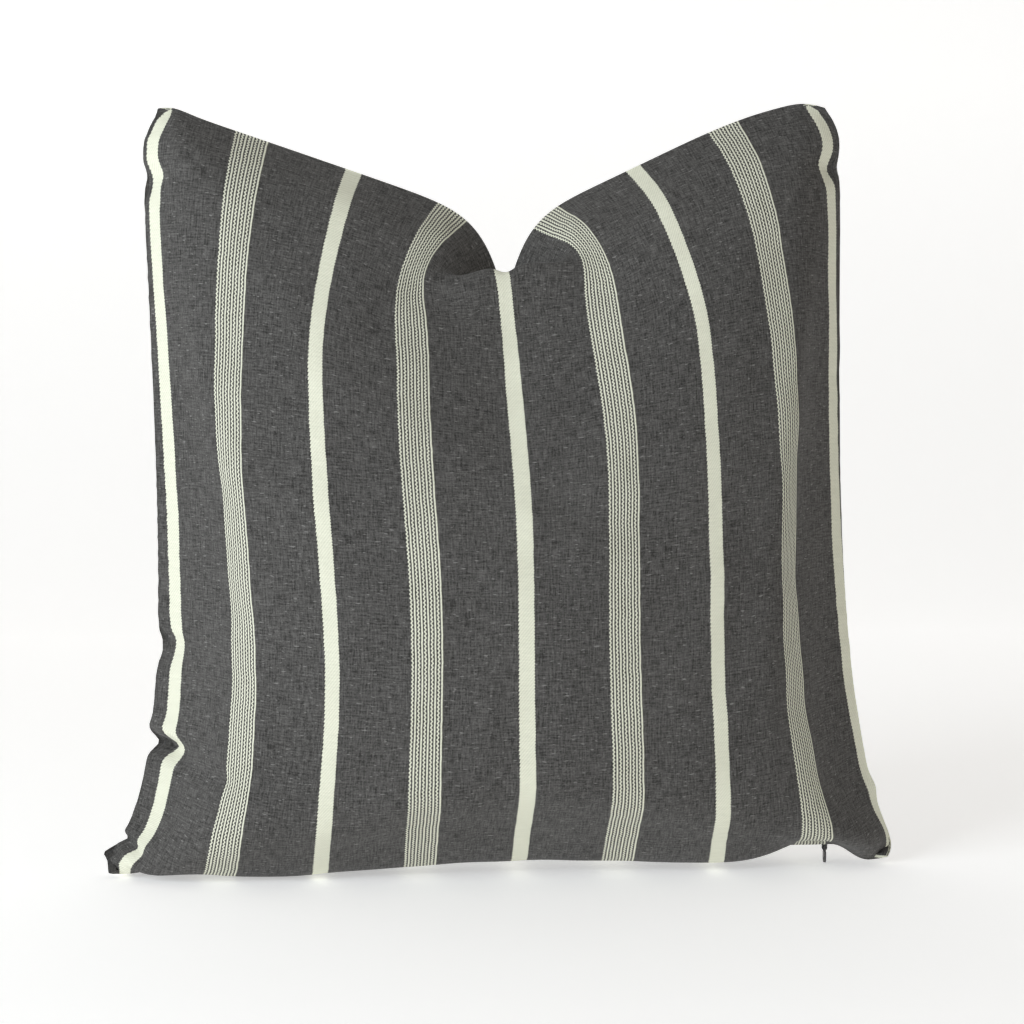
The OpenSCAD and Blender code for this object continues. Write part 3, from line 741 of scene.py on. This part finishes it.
class Nodes:
    """Short words for building a node tree."""

    def __init__(self, name):
        self.material = bpy.data.materials.new(name)
        self.material.use_nodes = True
        self.tree = self.material.node_tree
        self.shader = self.tree.nodes["Principled BSDF"]

    def add(self, kind, **values):
        node = self.tree.nodes.new(kind)
        for key, value in values.items():
            setattr(node, key, value)
        return node

    def feed(self, socket, value):
        if isinstance(value, bpy.types.NodeSocket):
            self.tree.links.new(value, socket)
        elif value is not None:
            socket.default_value = value

    def math(self, operation, a, b=None, c=None):
        node = self.add("ShaderNodeMath", operation=operation)
        for socket, value in zip(node.inputs, (a, b, c)):
            self.feed(socket, value)
        return node.outputs[0]

    def mix(self, share, a, b):
        node = self.add("ShaderNodeMix", data_type="RGBA")
        self.feed(node.inputs["Factor"], share)
        self.feed(node.inputs["A"], a)
        self.feed(node.inputs["B"], b)
        return node.outputs["Result"]

    def flat(self):
        """Coordinates on the flat cloth, in metres."""
        uv = self.add("ShaderNodeUVMap", uv_map="flat")
        split = self.add("ShaderNodeSeparateXYZ")
        self.feed(split.inputs[0], uv.outputs[0])
        return split.outputs[0], split.outputs[1]

    def place(self):
        """Coordinates in the object's own frame, in metres."""
        split = self.add("ShaderNodeSeparateXYZ")
        self.feed(split.inputs[0], self.add("ShaderNodeTexCoord").outputs["Object"])
        return split.outputs

    def scaled(self, x, y, sx, sy, z=0.0):
        """The vector (x / sx, y / sy, z)."""
        join = self.add("ShaderNodeCombineXYZ")
        self.feed(join.inputs[0], self.math("DIVIDE", x, sx))
        self.feed(join.inputs[1], self.math("DIVIDE", y, sy))
        self.feed(join.inputs[2], z)
        return join.outputs[0]

    def noise(self, vector, scale=1.0, detail=2.0, roughness=0.5):
        node = self.add("ShaderNodeTexNoise")
        self.feed(node.inputs["Vector"], vector)
        node.inputs["Scale"].default_value = scale
        node.inputs["Detail"].default_value = detail
        node.inputs["Roughness"].default_value = roughness
        return node.outputs["Fac"]

    def spread(self, value, low, high, to_low=0.0, to_high=1.0):
        node = self.add("ShaderNodeMapRange")
        for socket, number in zip(node.inputs, (value, low, high, to_low, to_high)):
            self.feed(socket, number)
        return node.outputs[0]

    def wave(self, value, period):
        return self.math("SINE", self.math("MULTIPLY", value, 2 * math.pi / period))

    def bump(self, height, distance, strength=1.0):
        node = self.add("ShaderNodeBump")
        node.inputs["Strength"].default_value = strength
        node.inputs["Distance"].default_value = distance
        self.feed(node.inputs["Height"], height)
        self.feed(self.shader.inputs["Normal"], node.outputs[0])

    def constants(self, **values):
        for name, value in values.items():
            self.shader.inputs[name.replace("_", " ")].default_value = value


def weave(k, x, y, warp, weft):
    """Height of a plain weave, 0 to 1: warp and weft threads cross over and under each other."""
    over = k.math("MULTIPLY", k.wave(x, warp), k.wave(y, weft))
    return k.math("MULTIPLY_ADD", over, 0.5, 0.5)


def striped_fabric():
    """Chambray-like plain weave with a raised solid stripe and a band of ten thin lines in turn."""
    k = Nodes("striped_fabric")
    x, y = k.flat()
    drift = k.math("MULTIPLY_ADD", y, -2 * DRIFT / SIDE, DRIFT + OFFSET)
    wander = k.math("MULTIPLY", k.math("SUBTRACT", k.noise(k.scaled(x, y, 0.03, 0.009)), 0.5), 0.0009)
    across = k.math("ADD", k.math("SUBTRACT", x, drift), wander)
    turn = k.math("DIVIDE", across, 2 * PITCH)

    # Solid stripe: teeth along its left edge, shallow scallops along its right edge
    solid = k.math("MULTIPLY", k.math("SUBTRACT", k.math("FRACT", k.math("ADD", turn, 0.5)), 0.5), 2 * PITCH)
    tooth = k.math("FRACT", k.math("DIVIDE", y, TOOTH))
    scallop = k.math("ABSOLUTE", k.wave(y, 0.0036))
    left = k.math("GREATER_THAN", solid, k.math("MULTIPLY_ADD", tooth, 0.0008, -STRIPE_HALF - 0.0004))
    right = k.math("LESS_THAN", solid, k.math("MULTIPLY_ADD", scallop, 0.0005, STRIPE_HALF - 0.0003))
    in_solid = k.math("MULTIPLY", left, right)

    # Banded stripe: straight and zigzag lines in turn
    lines = k.math("MULTIPLY", k.math("SUBTRACT", k.math("FRACT", turn), 0.5), 2 * PITCH)
    count = k.math("DIVIDE", lines, LINE_PITCH)
    odd = k.math("FLOORED_MODULO", k.math("FLOOR", count), 2.0)
    zig = k.math("PINGPONG", k.math("DIVIDE", y, TOOTH), 0.5)
    shift = k.math("MULTIPLY", k.math("MULTIPLY", k.math("SUBTRACT", zig, 0.25), 0.9), odd)
    thread = k.math("ABSOLUTE", k.math("ADD", k.math("SUBTRACT", k.math("FRACT", count), 0.5), shift))
    in_line = k.spread(thread, 0.20, 0.32, 1.0, 0.0)
    in_band = k.math("LESS_THAN", k.math("ABSOLUTE", lines), 5 * LINE_PITCH)
    in_lines = k.math("MULTIPLY", in_line, in_band)
    stripe = k.math("MAXIMUM", in_solid, in_lines)

    # Ground: threads of uneven shade in both directions, pale slubs, slow unevenness of the dye
    weft = k.noise(k.scaled(x, y, 0.0090, 0.0010), 1.0, 2.0, 0.6)
    warp = k.noise(k.scaled(x, y, 0.0010, 0.0100), 1.0, 2.0, 0.6)
    fleck = k.noise(k.scaled(x, y, 0.0012, 0.0012, 3.0), 1.0, 2.0, 0.6)
    slub = k.noise(k.scaled(x, y, 0.0046, 0.0013, 7.0), 1.0, 1.0)
    cloud = k.noise(k.scaled(x, y, 0.06, 0.09, 11.0), 1.0, 2.0)
    threads = k.math("ADD", k.math("MULTIPLY", weft, 0.5), k.math("MULTIPLY", warp, 0.5))
    shade = k.math("ADD", k.spread(threads, 0.36, 0.64, -0.7, 0.7), k.math("MULTIPLY_ADD", fleck, 2.2, -1.1))
    shade = k.math("ADD", shade, k.math("MULTIPLY_ADD", cloud, 0.5, -0.25))
    ground = k.mix(k.spread(shade, -0.75, 0.75), DARK_YARN, PALE_YARN)
    ground = k.mix(k.spread(slub, 0.66, 0.74, 0.0, 0.6), ground, SLUB_YARN)

    # The cream is painted darker along the grooves of the twill as shade, and varies with the weft's real
    # unevenness of tone
    twill = k.wave(k.math("SUBTRACT", x, k.math("MULTIPLY", y, 0.8)), 0.0019)
    uneven = k.math("MULTIPLY_ADD", weft, 1.2, -0.6)
    twill_shade_and_weft_tone = k.math("ADD", k.math("MULTIPLY_ADD", twill, 0.3, 0.5), uneven)
    cream = k.mix(twill_shade_and_weft_tone, CREAM_SHADE, CREAM)
    k.feed(k.shader.inputs["Base Color"], k.mix(stripe, ground, cream))

    cloth = weave(k, x, y, 0.0011, 0.0012)
    relief = k.math("ADD", k.math("MULTIPLY", cloth, 0.35), k.math("MULTIPLY", threads, 0.9))
    ribs = k.math("MULTIPLY", k.math("MULTIPLY", twill, stripe), 0.12)
    raised = k.math("ADD", k.math("MULTIPLY", stripe, 0.9), ribs)
    k.bump(k.math("ADD", relief, raised), 0.00035, 0.8)
    ground_roughness = k.spread(threads, 0.3, 0.7, 0.94, 0.82)
    k.feed(k.shader.inputs["Roughness"], k.math("MULTIPLY_ADD", stripe, -0.10, ground_roughness))
    k.constants(Sheen_Weight=0.10, Sheen_Roughness=0.45, Specular_IOR_Level=0.25)
    return k.material


def sewing_thread(name, colour, shade, twist=0.0007):
    """Twisted thread: its plies wind round it, and the grooves between them are painted darker as shade."""
    k = Nodes(name)
    along, round_it = k.flat()
    turns = k.math("ADD", k.math("DIVIDE", along, twist), round_it)
    wave = k.math("SINE", k.math("MULTIPLY", turns, 2 * math.pi))
    plies = k.math("MULTIPLY_ADD", wave, 0.5, 0.5)
    # Between the plies the thread turns to its darker colour: painted shade in the grooves
    k.feed(k.shader.inputs["Base Color"], k.mix(plies, (*shade, 1), (*colour, 1)))
    k.bump(plies, 0.00008)
    k.constants(Roughness=0.7, Sheen_Weight=0.15)
    return k.material


def zipper_tape():
    """Fine herringbone of polyester, painted darker in the troughs of its ribs as shade."""
    k = Nodes("zipper_tape")
    x, _, z = k.place()
    fold = k.math("PINGPONG", z, 0.0009)
    rib = k.wave(k.math("ADD", x, fold), 0.0008)
    grain = k.noise(k.scaled(x, z, 0.0004, 0.0004))
    # The ribs are painted darker in their troughs as shade; the grain adds the tape's real unevenness of tone
    share = k.math("ADD", k.math("MULTIPLY_ADD", rib, 0.3, 0.5), k.math("MULTIPLY_ADD", grain, 0.6, -0.3))
    k.feed(k.shader.inputs["Base Color"], k.mix(share, TAPE_DARK, TAPE_LIGHT))
    k.feed(k.shader.inputs["Roughness"], k.spread(grain, 0.3, 0.7, 0.75, 0.9))
    k.bump(share, 0.00012)
    return k.material


def nylon():
    """Half-matt nylon wire with faint streaks."""
    k = Nodes("nylon_coil")
    x, _, z = k.place()
    streak = k.noise(k.scaled(x, z, 0.003, 0.0005), 1.0, 2.0)
    k.feed(k.shader.inputs["Base Color"], k.mix(streak, NYLON_DARK, NYLON_LIGHT))
    k.feed(k.shader.inputs["Roughness"], k.spread(streak, 0.3, 0.7, 0.32, 0.48))
    k.bump(streak, 0.00003)
    return k.material


def gunmetal():
    """Dark lacquered zinc, a little rubbed and speckled."""
    k = Nodes("gunmetal")
    x, _, z = k.place()
    rub = k.noise(k.scaled(x, z, 0.0012, 0.0012), 1.0, 4.0, 0.6)
    speck = k.noise(k.scaled(x, z, 0.00025, 0.00025, 5.0), 1.0, 1.0)
    k.feed(k.shader.inputs["Base Color"], k.mix(k.spread(rub, 0.45, 0.65), LACQUER, RUBBED))
    worn = k.spread(rub, 0.4, 0.7, 0.28, 0.42)
    k.feed(k.shader.inputs["Roughness"], k.math("MULTIPLY_ADD", speck, 0.12, worn))
    k.bump(speck, 0.00002)
    k.constants(Metallic=0.9)
    return k.material


def insert_shell():
    """Undyed downproof cotton, closely woven, with a few seed specks, painted darker in the hollows of the
    weave as shade.
    """
    k = Nodes("insert_shell")
    x, y = k.flat()
    cloth = weave(k, x, y, 0.0007, 0.0007)
    yarn = k.noise(k.scaled(x, y, 0.004, 0.0004), 1.0, 2.0)
    seed = k.noise(k.scaled(x, y, 0.0013, 0.0013, 2.0), 1.0, 0.0)
    # Darker where weave and yarn lie lower: painted shade in the hollows of the weave, with the yarn's real
    # unevenness of tone
    share = k.math("ADD", k.math("MULTIPLY", yarn, 0.7), k.math("MULTIPLY", cloth, 0.3))
    cotton = k.mix(share, COTTON_DARK, COTTON_LIGHT)
    k.feed(k.shader.inputs["Base Color"], k.mix(k.spread(seed, 0.80, 0.84), cotton, SEED_SPECK))
    k.feed(k.shader.inputs["Roughness"], k.spread(yarn, 0.3, 0.7, 0.85, 0.95))
    k.bump(k.math("ADD", cloth, yarn), 0.00012)
    return k.material


def soft_filling():
    """Loose pale filling, tufted, with fine fibres, painted darker in the hollows between its tufts and
    fibres as shade.
    """
    k = Nodes("filling")
    x, _, z = k.place()
    tuft = k.noise(k.scaled(x, z, 0.011, 0.011), 1.0, 5.0, 0.65)
    fibre = k.noise(k.scaled(x, z, 0.0006, 0.004), 1.0, 3.0, 0.6)
    # Darker where tufts and fibres lie lower: painted shade in the hollows between them
    both = k.math("ADD", k.math("MULTIPLY", tuft, 0.6), k.math("MULTIPLY", fibre, 0.4))
    k.feed(k.shader.inputs["Base Color"], k.mix(k.spread(both, 0.3, 0.7), FILLING_DARK, FILLING_LIGHT))
    k.feed(k.shader.inputs["Roughness"], k.spread(both, 0.3, 0.7, 0.9, 1.0))
    k.bump(both, 0.002)
    return k.material


def floor_paper():
    """White paper with a little light of its own, which keeps the floor as pale as the backdrop."""
    k = Nodes("floor_paper")
    x, y, _ = k.place()
    grain = k.noise(k.scaled(x, y, 0.02, 0.02), 1.0, 3.0)
    k.feed(k.shader.inputs["Base Color"], k.mix(grain, PAPER_DARK, PAPER_LIGHT))
    k.constants(Roughness=0.8, Specular_IOR_Level=0.2, Emission_Color=(1, 1, 1, 1), Emission_Strength=0.42)
    return k.material


# Studio

AZIMUTH, ELEVATION, DISTANCE = -5.5, 2.0, 1.35
AIM = Vector((0.0064, ZIP_Y, 0.220))
VIEW_WIDTH = 0.6267


def look(ob, place, aim):
    ob.location = place
    ob.rotation_euler = (Vector(aim) - Vector(place)).to_track_quat("-Z", "Y").to_euler()
    bpy.context.scene.collection.objects.link(ob)


def camera():
    data = bpy.data.cameras.new("camera")
    data.sensor_width = 36
    data.lens = data.sensor_width * DISTANCE / VIEW_WIDTH
    data.clip_start = 0.05
    a, e = math.radians(AZIMUTH), math.radians(ELEVATION)
    back = Vector((math.sin(a) * math.cos(e), -math.cos(a) * math.cos(e), math.sin(e)))
    ob = bpy.data.objects.new("camera", data)
    look(ob, AIM + back * DISTANCE, AIM)
    bpy.context.scene.camera = ob


def area_light(name, place, size, power, colour):
    data = bpy.data.lights.new(name, "AREA")
    data.shape = "RECTANGLE"
    data.size, data.size_y = size
    data.energy = power
    data.color = colour
    look(bpy.data.objects.new(name, data), place, (0, 0, 0.22))


def studio():
    """Pale floor that curves up into the backdrop, one large soft light and a pale surround."""
    profile = [(-3.0, 0.0), (1.6, 0.0)]
    profile += [(1.6 + 0.9 * math.sin(a), 0.9 - 0.9 * math.cos(a)) for a in np.linspace(0.1, math.pi / 2, 12)]
    profile += [(2.5, 4.0)]
    points = [(x, y, z) for y, z in profile for x in (-5, 5)]
    faces = [(2 * i, 2 * i + 1, 2 * i + 3, 2 * i + 2) for i in range(len(profile) - 1)]
    floor = add_mesh("floor", points, faces)
    floor.data.materials.append(floor_paper())
    world = bpy.data.worlds.new("studio")
    world.use_nodes = True
    tree = world.node_tree
    sky = tree.nodes["Background"]
    sky.inputs["Color"].default_value = (1, 0.94, 0.86, 1)
    sky.inputs["Strength"].default_value = 0.32
    paper = tree.nodes.new("ShaderNodeBackground")
    seen = tree.nodes.new("ShaderNodeLightPath")
    mix = tree.nodes.new("ShaderNodeMixShader")
    tree.links.new(seen.outputs["Is Camera Ray"], mix.inputs[0])
    tree.links.new(sky.outputs[0], mix.inputs[1])
    tree.links.new(paper.outputs[0], mix.inputs[2])
    tree.links.new(mix.outputs[0], tree.nodes["World Output"].inputs[0])
    paper.inputs["Color"].default_value = (1, 1, 1, 1)
    bpy.context.scene.world = world
    area_light("key", (-1.9, -1.7, 0.95), (1.2, 1.2), 43, (0.88, 0.95, 1))
    bpy.context.scene.view_settings.view_transform = "Standard"


# Pieces

def finish_piece(piece, material, slot, *nodes):
    """Gives a piece its material, hangs it from the cover's body and hides the nodes it stands for; slot is
    not used.
    """
    piece.data.materials.append(material)
    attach(piece, "cover")
    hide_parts(*nodes)
    return piece


def make_cover(p, seam):
    fabric = striped_fabric()
    for panel, end in ((FRONT, "front"), (BACK, "back")):
        piece = cover_panel("cover_" + end, p, seam, panel)
        finish_piece(piece, fabric, "striped_fabric", f"cover_{end}_panel")


def make_insert(p, seam):
    cotton = insert_shell()
    for panel, end in ((FRONT, "front"), (BACK, "back")):
        piece = shell("insert_" + end, p, seam, panel)
        finish_piece(piece, cotton, "insert_shell", f"insert_{end}_panel")
    filling_piece = stuffing("loose_filling", p, seam)
    finish_piece(filling_piece, soft_filling(), "filling", "insert_filling")
    white = sewing_thread("insert_thread", WHITE_THREAD, WHITE_SHADE)
    grid = nested(p, seam, SHELL_GRID, RIM_DEPTH - SHELL_RIM, INSERT_GAP, FRONT)
    i, j = rim_index(SHELL_GRID)
    rim = grid[i, j]
    ring = resample(np.concatenate([rim, rim[:1]]), 0.002)[:-1]
    dip = np.where(np.arange(len(ring)) % 2 == 0, 0.0002, -0.0002)[:, None] * [[0, 1, 0]]
    stitches = tube("insert_seam_stitches", ring + dip, THREAD_R, closed=True)
    finish_piece(stitches, white, "insert_thread", "insert_seam_thread")
    foot = rim[(j == 0) & (abs(rim[:, 0]) < CLOSING_HALF)]
    up, out = np.array([0, 0, 0.0016]), np.array([0, 0.0014, 0])
    whip = tube("insert_whipstitches", winding(foot[np.argsort(foot[:, 0])], WHIP_PITCH, up, out), THREAD_R)
    finish_piece(whip, white, "insert_thread", "insert_closing_stitch")


def make_seams(seam):
    grey = sewing_thread("cover_thread", GREY_THREAD, GREY_SHADE)
    middle = np.zeros(len(seam.i))
    for side, label in ((-1, "needle"), (1, "bobbin")):
        aside = side * (SEAM_GAP + FABRIC + THREAD_R)
        path = sewn_part(seam, seam.at(STITCH_DEPTH, middle))
        piece = lockstitch(f"seam_{label}_stitches", path, THREAD_R, np.array([0, aside, 0]))
        finish_piece(piece, grey, "sewing_thread", f"seam_{label}_thread")

    # Overlock: a winding round the raw edges, between a line behind the edge and one beyond it
    line = resample(sewn_part(seam, seam.at(ALLOWANCE - 0.0012, middle)), OVERLOCK_STEP)
    beyond = resample(sewn_part(seam, seam.at(ALLOWANCE + 0.0008, middle)), OVERLOCK_STEP)
    at, known = np.linspace(0, 1, len(line)), np.linspace(0, 1, len(beyond))
    beyond = np.stack([np.interp(at, known, beyond[:, k]) for k in range(3)], -1)
    turn = (np.arange(len(line)) / OVERLOCK_STEPS * 2 * math.pi)[:, None]
    out = np.array([[0, SEAM_GAP + FABRIC + 0.0004, 0]])
    path = line + (beyond - line) * np.cos(turn) + out * np.sin(turn)
    overlock = tube("seam_overlock_stitches", path, OVERLOCK_R, sides=4)
    finish_piece(overlock, grey, "sewing_thread", "seam_overlock_thread")

    for end in ("front", "back"):
        low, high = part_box(f"zipper_stitching_{end}")
        y, z = (low.y + high.y) / 2, (low.z + high.z) / 2
        path = np.array([[low.x, y, z], [high.x, y, z]])
        piece = lockstitch(f"zipper_stitches_{end}", path, THREAD_R * 0.9, np.zeros(3))
        finish_piece(piece, grey, "sewing_thread", f"zipper_stitching_{end}")


def make_coils():
    """Each coil of the zipper is one nylon wire, wound flat."""
    wire = nylon()
    for end, side in (("front", -1), ("back", 1)):
        low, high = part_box(f"zipper_coil_{end}")
        y, z = (low.y + high.y) / 2, (low.z + high.z) / 2
        start = low.x + WIRE_R + (0.25 if end == "front" else 0.75) * COIL_PITCH
        path = np.array([[start, y, z], [high.x - WIRE_R, y, z]])
        up = np.array([0, 0, (high.z - low.z) / 2 - WIRE_R])
        out = np.array([0, side * ((high.y - low.y) / 2 - WIRE_R), 0])
        piece = tube(f"coil_wire_{end}", winding(path, COIL_PITCH, up, out), WIRE_R)
        finish_piece(piece, wire, "zipper_coil", f"zipper_coil_{end}")


def dress_frame():
    """The frame's own zipper parts keep their shape and get a woven or lacquered finish."""
    looks = {"zipper_tape_front": zipper_tape(), "zipper_bottom_stop": gunmetal()}
    looks["zipper_tape_back"] = looks["zipper_tape_front"]
    for name in ("zipper_top_stops", "zipper_slider", "zipper_pull"):
        looks[name] = looks["zipper_bottom_stop"]
    for name, material in looks.items():
        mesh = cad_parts[name].data
        mesh.materials.clear()
        mesh.materials.append(material)


camera()
studio()
pillow = simulate()
sewn = Seam(pillow)
make_cover(pillow, sewn)
make_insert(pillow, sewn)
make_seams(sewn)
make_coils()
dress_frame()
